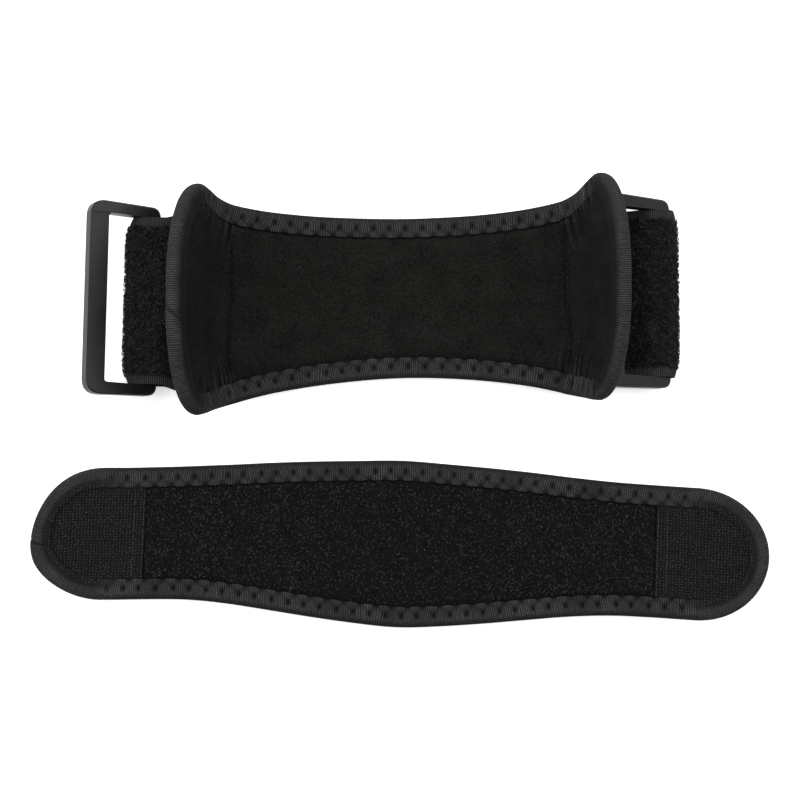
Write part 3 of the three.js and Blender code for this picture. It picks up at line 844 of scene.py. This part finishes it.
def make_binding(name, node, outline, seam, half, edge_half, place, swell, dark, seed):
    """Elastic tape folded over an edge. swell(along) adds height to its upper face, and dark says where
    it lies in the dark."""
    inset, height, out_inset, out_height, across = section_of(half)
    along = outline.along[:, None]
    base = np.broadcast_to(inset, (outline.count, len(inset)))
    hole, notch, groove, lobe = seam.shape(along, base)
    upper = np.where(np.isclose(out_height, 1), 1.0, 0.0)
    hole, notch, groove = hole * upper, notch * upper, groove * upper
    on_end = seam.on_end(along)
    crest = knit(along, across, on_end, seed)
    number = rib_number(along, across, outline.length, seed)
    rib = 0.5 + 0.5 * np.cos(2 * math.pi * number)
    over, cut = lap(seam, along, across)
    lift = upper * (binding_top(seam, along, base, half) - half + swell(along))
    lift = lift + RIB_HEIGHT * (rib - 0.5) * (1 - RIB_LOST * hole)
    lift = lift + LAP_RISE * over * out_height - LAP_CUT_DEPTH * cut
    lift = np.where(out_height < 0, RIB_HEIGHT * (rib - 1), lift)
    edge = SCALLOP * (2 * lobe - 1) * smoothstep(SCALLOP_FROM, BINDING_REACH, base) * upper
    moved = base + edge + out_inset * lift
    level = height + out_height * lift

    # the needle draws the tape together along the edge
    phase, span = seam.since_hole(along)
    to_hole = np.where(phase < 0.5, phase, phase - 1) * span
    pinch = -HOLE_PINCH * to_hole * hole

    dark_s, dark_inset = dark
    in_dark = smoothstep(*dark_s, np.abs(outline.points[:, :1])) * smoothstep(*dark_inset, base) * upper
    # painted shade in the needle holes, the notches and the thread's groove
    shade = crest * (1 - HOLE_PAINTED_SHADE * hole) * (1 - NOTCH_PAINTED_SHADE * notch) * (1 - GROOVE_PAINTED_SHADE * groove)
    # painted shade on the tape's inner part round the ends and along the lap's cut edge
    shade = shade * (1 - INNER_DARKEN * in_dark) * (1 - CUT_PAINTED_SHADE * cut)
    # painted light on the swellings and tucks, painted shade in the troughs
    shade = shade * (1 + SWELL_LIGHT_AND_SHADE * upper * swell(along))

    inner = edge_half + INNER_WALL_GAP
    tucked = BINDING_REACH - INNER_WALL_GAP
    hidden_inset = np.array([tucked, INNER_WALL_AT, INNER_WALL_AT, tucked])
    hidden_level = np.array([inner, inner, -inner, -inner])

    def closed(shown, hidden):
        """A row for each point along the edge, with the tape's hidden inner side added."""
        columns = np.broadcast_to(hidden, (outline.count, len(hidden_inset)))
        return np.concatenate([shown, columns], axis=1)

    moved = closed(moved, hidden_inset)
    level = closed(level, hidden_level)
    pinch = closed(pinch, 0)
    flat_points = (outline.points[:, None, :] + outline.inward[:, None, :] * moved[..., None]
                   + outline.tangent[:, None, :] * pinch[..., None])
    points = place(flat_points[..., 0], flat_points[..., 1], level)
    faces = grid_faces(*level.shape, wrap_rows=True, wrap_columns=True)
    # the attribute crest holds the tape's tone with its painted shade and painted light
    piece = make_piece(name, points, faces, ELASTIC, crest=closed(shade, 0), rib=closed(number, 0))
    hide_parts(node)


def make_seam_thread(name, outline, seam, half, place):
    """The thread that shows on the binding's face, a leg up and a leg down for each stitch."""
    up_leg = np.linspace(0, NOTCH_LEAD, THREAD_POINTS[0])
    down_leg = np.linspace(NOTCH_LEAD, 1, THREAD_POINTS[1])
    phases = np.concatenate([up_leg, down_leg[1:]])
    after = np.append(seam.holes[1:], seam.holes[0] + seam.length)
    along = seam.holes[:, None] + (after - seam.holes)[:, None] * phases
    along = along[seam.on_end(seam.holes) < 0.5]
    rise = BINDING_REACH - THREAD_SHORT - HOLE_INSET
    climb = np.where(phases < NOTCH_LEAD, phases / NOTCH_LEAD, (1 - phases) / (1 - NOTCH_LEAD))
    inset = HOLE_INSET + rise * np.broadcast_to(climb, along.shape)
    wrapped = along % seam.length
    level = binding_top(seam, wrapped, inset, half) - THREAD_SUNK
    spot = outline.inset(wrapped, inset)
    paths = place(spot[..., 0], spot[..., 1], level)
    up = unit(place(spot[..., 0], spot[..., 1], level + 1) - paths).mean(axis=1)
    make_threads(name, paths, up, THREAD_RADIUS, THREAD, (0, 1), SEED)


# Front pad

pad_edge = Outline(PAD_WIDTHS, PAD_END_ROUND, EDGE_STEP)
pad_seam = Seam(pad_edge, PAD_ENDS_AT, PAD_LAP_AT, SEED + 1)


def gather_window(s):
    """Where the edge is gathered: the flaps' bends, strongest past the crease."""
    return smoothstep(*GATHERS_START, np.abs(s)) * (1 - smoothstep(*GATHERS_STOP, np.abs(s)))


def pad_swell(along):
    """Unevenness of the pad's binding, with tucks across it where the edge is gathered."""
    s = pad_edge.points[pad_edge.index(along), 0]
    tucks = sum(uneven(waves, along) for waves in TAPE_TUCKS)
    return uneven(PAD_SWELL, along) + gather_window(s) * tucks


def make_pad_body():
    """The foam pad: a brushed lining that swells beside the binding, over a plain outer face."""
    s, y = pad_edge.grid(PAD_TUCK, *PAD_GRID)
    along, away = pad_edge.nearest(s, y)
    on_end = pad_seam.on_end(along)
    rise_from, rise_to = (mix(*ends, on_end) for ends in zip(PAD_RISES, PAD_END_RISES))
    rise = smoothstep(rise_from, rise_to, away)
    core = mix(PAD_EDGE_HALF, PAD_CORE_TOP, rise)
    bottom = mix(PAD_EDGE_HALF, PAD_CORE_BOTTOM, rise)

    _, notch, _, lobe = pad_seam.shape(along, np.minimum(away, BINDING_REACH))
    puff = raised(PAD_PUFF, away) * mix(PAD_PUFF_EVEN, 1, lobe)
    gather = gather_window(s) * np.exp(-np.maximum(away - TUCKS_DEEP, 0) / TUCKS_FADE)
    tucks = uneven(LINING_TUCKS, along) * gather * rise
    rumple = rise * sum(uneven(waves, s, y) for waves in PAD_RUMPLES)
    drawn = 1 - smoothstep(PAD_SEAM_HALF, PAD_SEAM_HALF + PAD_SEAM_ENDS_OVER, np.abs(y))
    crease = drawn * bell(np.abs(s) - PAD_SEAM_AT - uneven(PAD_SEAM_STRAY, y), PAD_SEAM_WIDTH)
    top = core + puff + tucks + rumple - notch * raised(PAD_NOTCH, away) - PAD_SEAM_DEPTH * crease

    # gather and crease carry the painted light and shade of the tucks and the painted shade of the crease
    piece = make_slab("pad_foam", on_pad, s, y, top, -bottom, LINING, gather=gather, edge_along=along,
                      crease=crease)
    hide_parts("pad_body")


make_pad_body()
make_binding("pad_edge_tape", "pad_binding", pad_edge, pad_seam, PAD_BINDING_HALF, PAD_EDGE_HALF,
             on_pad, pad_swell, PAD_DARK, SEED + 6)
make_seam_thread("pad_edge_thread", pad_edge, pad_seam, PAD_BINDING_HALF, on_pad)


# Closing band

band_edge = Outline(BAND_WIDTHS, BAND_END_ROUND, EDGE_STEP)
band_seam = Seam(band_edge, BAND_ENDS_AT, BAND_LAP_AT, SEED + 7)


def band_swell(along):
    return uneven(BAND_SWELL, along)


def make_band_body():
    """The foam core and its plain outer face."""
    s, y = band_edge.grid(BAND_TUCK, *BAND_GRID)
    _, away = band_edge.nearest(s, y)
    bottom = mix(BAND_EDGE_HALF, BAND_CORE_BOTTOM, smoothstep(*BAND_RISES, away))
    top = np.full(y.shape, BAND_CORE_TOP)
    piece = make_slab("band_foam", on_band, s, y, top, -bottom, LINING)
    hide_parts("band_body")


def make_face(name, node, s, half, material, relief, rises):
    """A fabric layer on the band's face, tucked under the binding's inner edge, from which it rises."""
    y = half[:, None] * np.linspace(-1, 1, FACE_COLUMNS)
    s = np.broadcast_to(s[:, None], y.shape)
    _, away = band_edge.nearest(s, y)
    low = np.full(y.shape, BAND_CORE_TOP + FACE_LIFT)
    top = low + FACE_EDGE + FACE_GAIN * smoothstep(*rises, away)
    top = top + relief(s, y) * smoothstep(*FACE_RELIEF_STARTS, away)
    piece = make_slab(name, on_band, s, y, top, low, material)
    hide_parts(node)


def make_loop_field():
    """The napped fabric between the hook patches, and the loops that stand up from it."""
    end = BAND_PATCH_START - FACE_GAP
    s = np.linspace(-end, end, FIELD_ROWS)
    half = band_edge.half_width(s, FACE_INSET)

    def relief(s, y):
        return sum(uneven(waves, s, y) for waves in FIELD_RELIEF)

    make_face("loop_ground", "band_loop_field", s, half, LOOP_GROUND, relief, FIELD_RISES)

    rng = np.random.default_rng(SEED + 12)
    at_s = rng.uniform(-end, end, FIELD_LOOP_COUNT)
    reach = smooth_widths(BAND_WIDTHS, np.abs(at_s)) - FIELD_LOOPS_FROM
    at_y = rng.uniform(-1, 1, FIELD_LOOP_COUNT) * reach
    base = on_band(at_s, at_y, YARN_FOOT)
    make_loops("loop_pile", base, STRAIGHT_UP, FIELD_LOOP, LOOP_YARN, SEED + 13)


def make_hook_patch(name, node, sign):
    """The hook tape in a rounded end, and its hooks, which reach over the inner part of the binding."""
    start = BAND_PATCH_START + FACE_GAP
    stop = band_edge.points[0, 0] - PATCH_END_INSET
    s = mix(start, stop, np.sin(np.linspace(0, 1, PATCH_ROWS) * math.pi / 2))
    half = band_edge.half_width(s, FACE_INSET)
    if sign < 0:
        s = -s[::-1]
        half = half[::-1]

    def relief(s, y):
        along, across = (np.cos(2 * math.pi * at / pitch) for at, pitch in zip((s, y), PATCH_WEAVE_PITCH))
        return PATCH_WEAVE * along * across

    make_face(f"{name}_ground", node, s, half, HOOK_GROUND, relief, PATCH_RISES)

    rng = np.random.default_rng(SEED + 14 + sign)
    pitch_s, pitch_y = HOOK_PITCH
    last = band_edge.points[0, 0] - HOOKS_FROM
    columns = np.arange(start + HOOKS_START, last, pitch_s)
    rows = np.arange(-HOOKS_HALF, HOOKS_HALF, pitch_y)
    grid_s, grid_y = np.meshgrid(columns, rows, indexing="ij")
    at_s = sign * (grid_s + rng.normal(0, HOOK_STRAY, grid_s.shape)).ravel()
    at_y = (grid_y + rng.normal(0, HOOK_STRAY, grid_y.shape)).ravel()
    _, away = band_edge.nearest(at_s, at_y)
    past_seam = np.abs(at_s) > BAND_ENDS_AT
    kept = away > np.where(past_seam, HOOKS_FROM, HOOKS_BESIDE_SEAM)
    at_s, at_y, away = at_s[kept], at_y[kept], away[kept]
    height = np.where(away < BINDING_REACH, HOOKS_ON_TAPE, YARN_FOOT)
    base = on_band(at_s, at_y, height)
    make_loops(f"{name}_hooks", base, STRAIGHT_UP, HOOK_LOOP, HOOK_YARN, SEED + 17 + sign)


make_band_body()
make_binding("band_edge_tape", "band_binding", band_edge, band_seam, BAND_BINDING_HALF, BAND_EDGE_HALF,
             on_band, band_swell, BAND_DARK, SEED + 9)
make_seam_thread("band_edge_thread", band_edge, band_seam, BAND_BINDING_HALF, on_band)
make_loop_field()
make_hook_patch("left_hook", "left_hook_patch", -1)
make_hook_patch("right_hook", "right_hook_patch", 1)


# Tabs

def tab_path(side):
    """Side view of a tab's outer surface from the lower root round the fold to the upper root: x, z, the
    outward direction and the distance from the lower root, at even steps."""
    centre = side.fold - TAB_LOOP_HALF
    loop_start = side.axis - TAB_LOOP_LEAD
    neck = loop_start - TAB_NECK_RUN
    angle = np.linspace(-math.pi / 2, math.pi / 2, TAB_FOLD_POINTS)
    fold_x = centre + TAB_LOOP_HALF * np.cos(angle)
    fold_z = TAB_LOOP_HALF + TAB_LOOP_HALF * np.sin(angle)
    ease = np.linspace(0, 1, TAB_NECK_POINTS)
    neck_x = mix(loop_start, neck, ease)
    neck_z = mix(2 * TAB_LOOP_HALF, TAB_NECK_THICKNESS, smoothstep(0, 1, ease))
    x = np.concatenate([[TAB_ROOT_X], fold_x, neck_x, [TAB_CREASE_X, TAB_ROOT_X]])
    z = np.concatenate([[0], fold_z, neck_z, [TAB_SEWN_THICKNESS, TAB_SEWN_THICKNESS]])
    along = running_total(np.hypot(np.diff(x), np.diff(z)))
    at = np.linspace(0, along[-1], TAB_GRID[0])
    x, z = np.interp(at, along, x), np.interp(at, along, z)
    ahead_x, ahead_z = np.gradient(x), np.gradient(z)
    size = np.hypot(ahead_x, ahead_z)
    return x, z, ahead_z / size, -ahead_x / size, at


def drawn_in(side, x, y):
    """How far the tab's loop falls short of its fold at its corners."""
    outer = smoothstep(side.axis - TAB_LOOP_LEAD, side.fold, x)
    corner = np.maximum(np.abs(y) - TAB_ROUND_FROM, 0) / (TAB_HALF_WIDTH - TAB_ROUND_FROM)
    return side.drawn * outer * corner ** TAB_ROUND_POWER


def flared(side, x, y):
    """Places across a tab, spread a little towards the pad."""
    return y * (1 + side.flare * smoothstep(*TAB_FLARES, side.axis - x))


def make_tab(name, side):
    """A tape folded round a ring's bar, and the loops of its pile."""
    x, z, out_x, out_z, at = tab_path(side)
    past_crease = x - TAB_CREASE_X
    pile = mix(TAB_PILE_PRESSED, TAB_PILE, smoothstep(0, TAB_PILE_RISE, past_crease))
    inner = np.minimum(pile + TAB_TAPE, mix(*TAB_INNER, smoothstep(0, TAB_INNER_RUN, past_crease)))
    y = TAB_HALF_WIDTH * crowded(TAB_GRID[1])
    bare = smoothstep(TAB_PILE_HALF - SELVAGE_BLEND, TAB_PILE_HALF + SELVAGE_BLEND, np.abs(y))
    sunk = pile[:, None] - SELVAGE_SUNK * bare
    short = drawn_in(side, x[:, None], y)
    outer_x = x[:, None] - out_x[:, None] * sunk - short
    inner_x = (x - out_x * inner)[:, None] - short
    wide = flared(side, x[:, None], y)
    outer_points = on_tab(side, outer_x, wide, z[:, None] - out_z[:, None] * sunk)
    inner_points = on_tab(side, inner_x, wide, (z - out_z * inner)[:, None])
    points = np.concatenate([outer_points, inner_points[:, ::-1]], axis=1)
    number = np.broadcast_to(at[:, None] / RIB_PITCH, points.shape[:2])
    bare = np.broadcast_to(np.concatenate([bare, 0 * bare]), points.shape[:2])
    tape = make_piece(f"{name}_tab_tape", points, slab_faces(*points.shape[:2]), PILE_GROUND,
                      flip=side.sign > 0, rib=number, bare=bare)
    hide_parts(f"{name}_tab")

    rng = np.random.default_rng(SEED + 20 + side.sign)
    underside = len(x) // 2
    low = np.interp(TAB_CREASE_X + TAB_PILE_FROM, x[:underside], at[:underside])
    place = rng.uniform(low, at[-1] - TAB_PILE_SHORT, TAB_LOOP_COUNT)
    over = rng.uniform(-TAB_PILE_HALF, TAB_PILE_HALF, TAB_LOOP_COUNT)
    path_x, path_z = np.interp(place, at, x), np.interp(place, at, z)
    path_x, over = path_x - drawn_in(side, path_x, over), flared(side, path_x, over)
    normal_x, normal_z = np.interp(place, at, out_x), np.interp(place, at, out_z)
    depth = np.interp(place, at, pile) + TAB_PILE_ROOTED
    base = on_tab(side, path_x - normal_x * depth, over, path_z - normal_z * depth)
    tip = on_tab(side, path_x - normal_x * (depth - 1), over, path_z - normal_z * (depth - 1))
    loops = make_loops(f"{name}_tab_pile", base, unit(tip - base), TAB_LOOP, PILE_YARN,
                       SEED + 23 + side.sign)


for side_name, tab_side in SIDES.items():
    make_tab(side_name, tab_side)


# Stitches and lint

def make_stitches(name, place, s, half, level, radius, tones):
    """Rows of straight stitches across a half of the strap, at distances s from its middle."""
    starts = [(at, y) for at in s for y in np.arange(-half, half - STITCH_LENGTH, STITCH_PITCH)]
    at, y = np.array(starts).T
    share = np.linspace(0, 1, STITCH_POINTS)
    along = y[:, None] + STITCH_LENGTH * share
    height = level + STITCH_ARCH * np.sin(math.pi * share) - STITCH_SUNK
    paths = place(np.broadcast_to(at[:, None], along.shape), along, np.broadcast_to(height, along.shape))
    up = unit(place(at, y, level + 1) - place(at, y, level))
    make_threads(name, paths, up, radius, STITCH, tones, SEED + 30)


def make_lint(name, place, count, reach, half, level, seed):
    """Specks of fluff that cling to a face."""
    rng = np.random.default_rng(seed)
    s, y = rng.uniform(-reach, reach, count), rng.uniform(-half, half, count)
    base = place(s, y, level)
    up = unit(place(s, y, level + 1) - base)
    make_loops(name, base, up, LINT_LOOP, LINT, seed)


make_stitches("band_face_stitches", on_band, PATCH_SEAMS_AT, PATCH_SEAM_HALF,
              level=FACE_HEIGHT, radius=0.14, tones=(0.15, 0.6))
make_stitches("pad_tab_stitches", on_pad, (-PAD_SEAM_AT, PAD_SEAM_AT), PAD_SEAM_HALF,
              level=PAD_CORE_TOP - 0.3, radius=0.10, tones=(0, 0.05))
make_lint("pad_lint", on_pad, count=90, reach=52, half=18, level=PAD_CORE_TOP, seed=SEED + 31)
make_lint("band_lint", on_band, count=40, reach=72, half=12, level=FACE_HEIGHT,
          seed=SEED + 32)


# Rings

for side_name in SIDES:
    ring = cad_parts[f"{side_name}_ring"]
    ring.data.materials.clear()
    ring.data.materials.append(PLASTIC)
    bevel = ring.modifiers.new("softened_edges", "BEVEL")
    bevel.width = RING_BEVEL * MM
    bevel.segments = RING_BEVEL_STEPS
    bevel.limit_method = "ANGLE"
    bevel.angle_limit = math.radians(RING_BEVEL_ANGLE)
    bevel.harden_normals = True


# Floor, light and camera

def add_floor():
    """A white surface that shows in the plastic's shine but throws no light back on the cloth."""
    bpy.ops.mesh.primitive_plane_add(size=FLOOR_SIZE, location=(0, 0, 0))
    floor = bpy.context.object
    floor.name = "floor"
    floor.data.materials.append(FLOOR)
    floor.visible_diffuse = False


def add_sky():
    """Even light from above the surface and none from below it."""
    world = bpy.data.worlds.new("studio")
    world.use_nodes = True
    tree = world.node_tree
    background = tree.nodes["Background"]
    background.inputs["Color"].default_value = (1, 1, 1, 1)
    direction = tree.nodes.new("ShaderNodeTexCoord")
    split = tree.nodes.new("ShaderNodeSeparateXYZ")
    rise = tree.nodes.new("ShaderNodeMapRange")
    for label, number in zip(("From Min", "From Max", "To Min", "To Max"), (*SKY_RISES, 0, SKY_LIGHT)):
        rise.inputs[label].default_value = number
    tree.links.new(direction.outputs["Generated"], split.inputs["Vector"])
    tree.links.new(split.outputs["Z"], rise.inputs["Value"])
    tree.links.new(rise.outputs["Result"], background.inputs["Strength"])
    bpy.context.scene.world = world


def add_softbox(name, place, size, power):
    """A round area light that faces the strap."""
    light = bpy.data.lights.new(name, "AREA")
    light.shape = "DISK"
    light.size = size
    light.energy = power
    lamp = bpy.data.objects.new(name, light)
    lamp.location = place
    lamp.rotation_euler = (-Vector(place)).to_track_quat("-Z", "Y").to_euler()
    bpy.context.scene.collection.objects.link(lamp)


def add_camera():
    tilt = math.radians(CAMERA_TILT)
    data = bpy.data.cameras.new("camera")
    data.sensor_width = SENSOR_WIDTH
    data.lens = SENSOR_WIDTH * CAMERA_DISTANCE / CAMERA_FIELD
    data.clip_start = 0.01
    camera = bpy.data.objects.new("camera", data)
    away = CAMERA_DISTANCE * Vector((0, -math.sin(tilt), math.cos(tilt)))
    camera.location = Vector(CAMERA_TARGET) + away
    camera.rotation_euler = (tilt, 0, 0)
    bpy.context.scene.collection.objects.link(camera)
    bpy.context.scene.camera = camera


add_floor()
add_sky()
add_softbox("left_light", place=(-1.0, 0.1, 0.75), size=1.4, power=13.5)
add_softbox("back_light", place=(-0.1, 0.95, 0.9), size=0.9, power=9)
add_softbox("right_light", place=(0.95, 0.15, 1.0), size=0.9, power=10)
bpy.context.scene.view_settings.view_transform = "Standard"
add_camera()
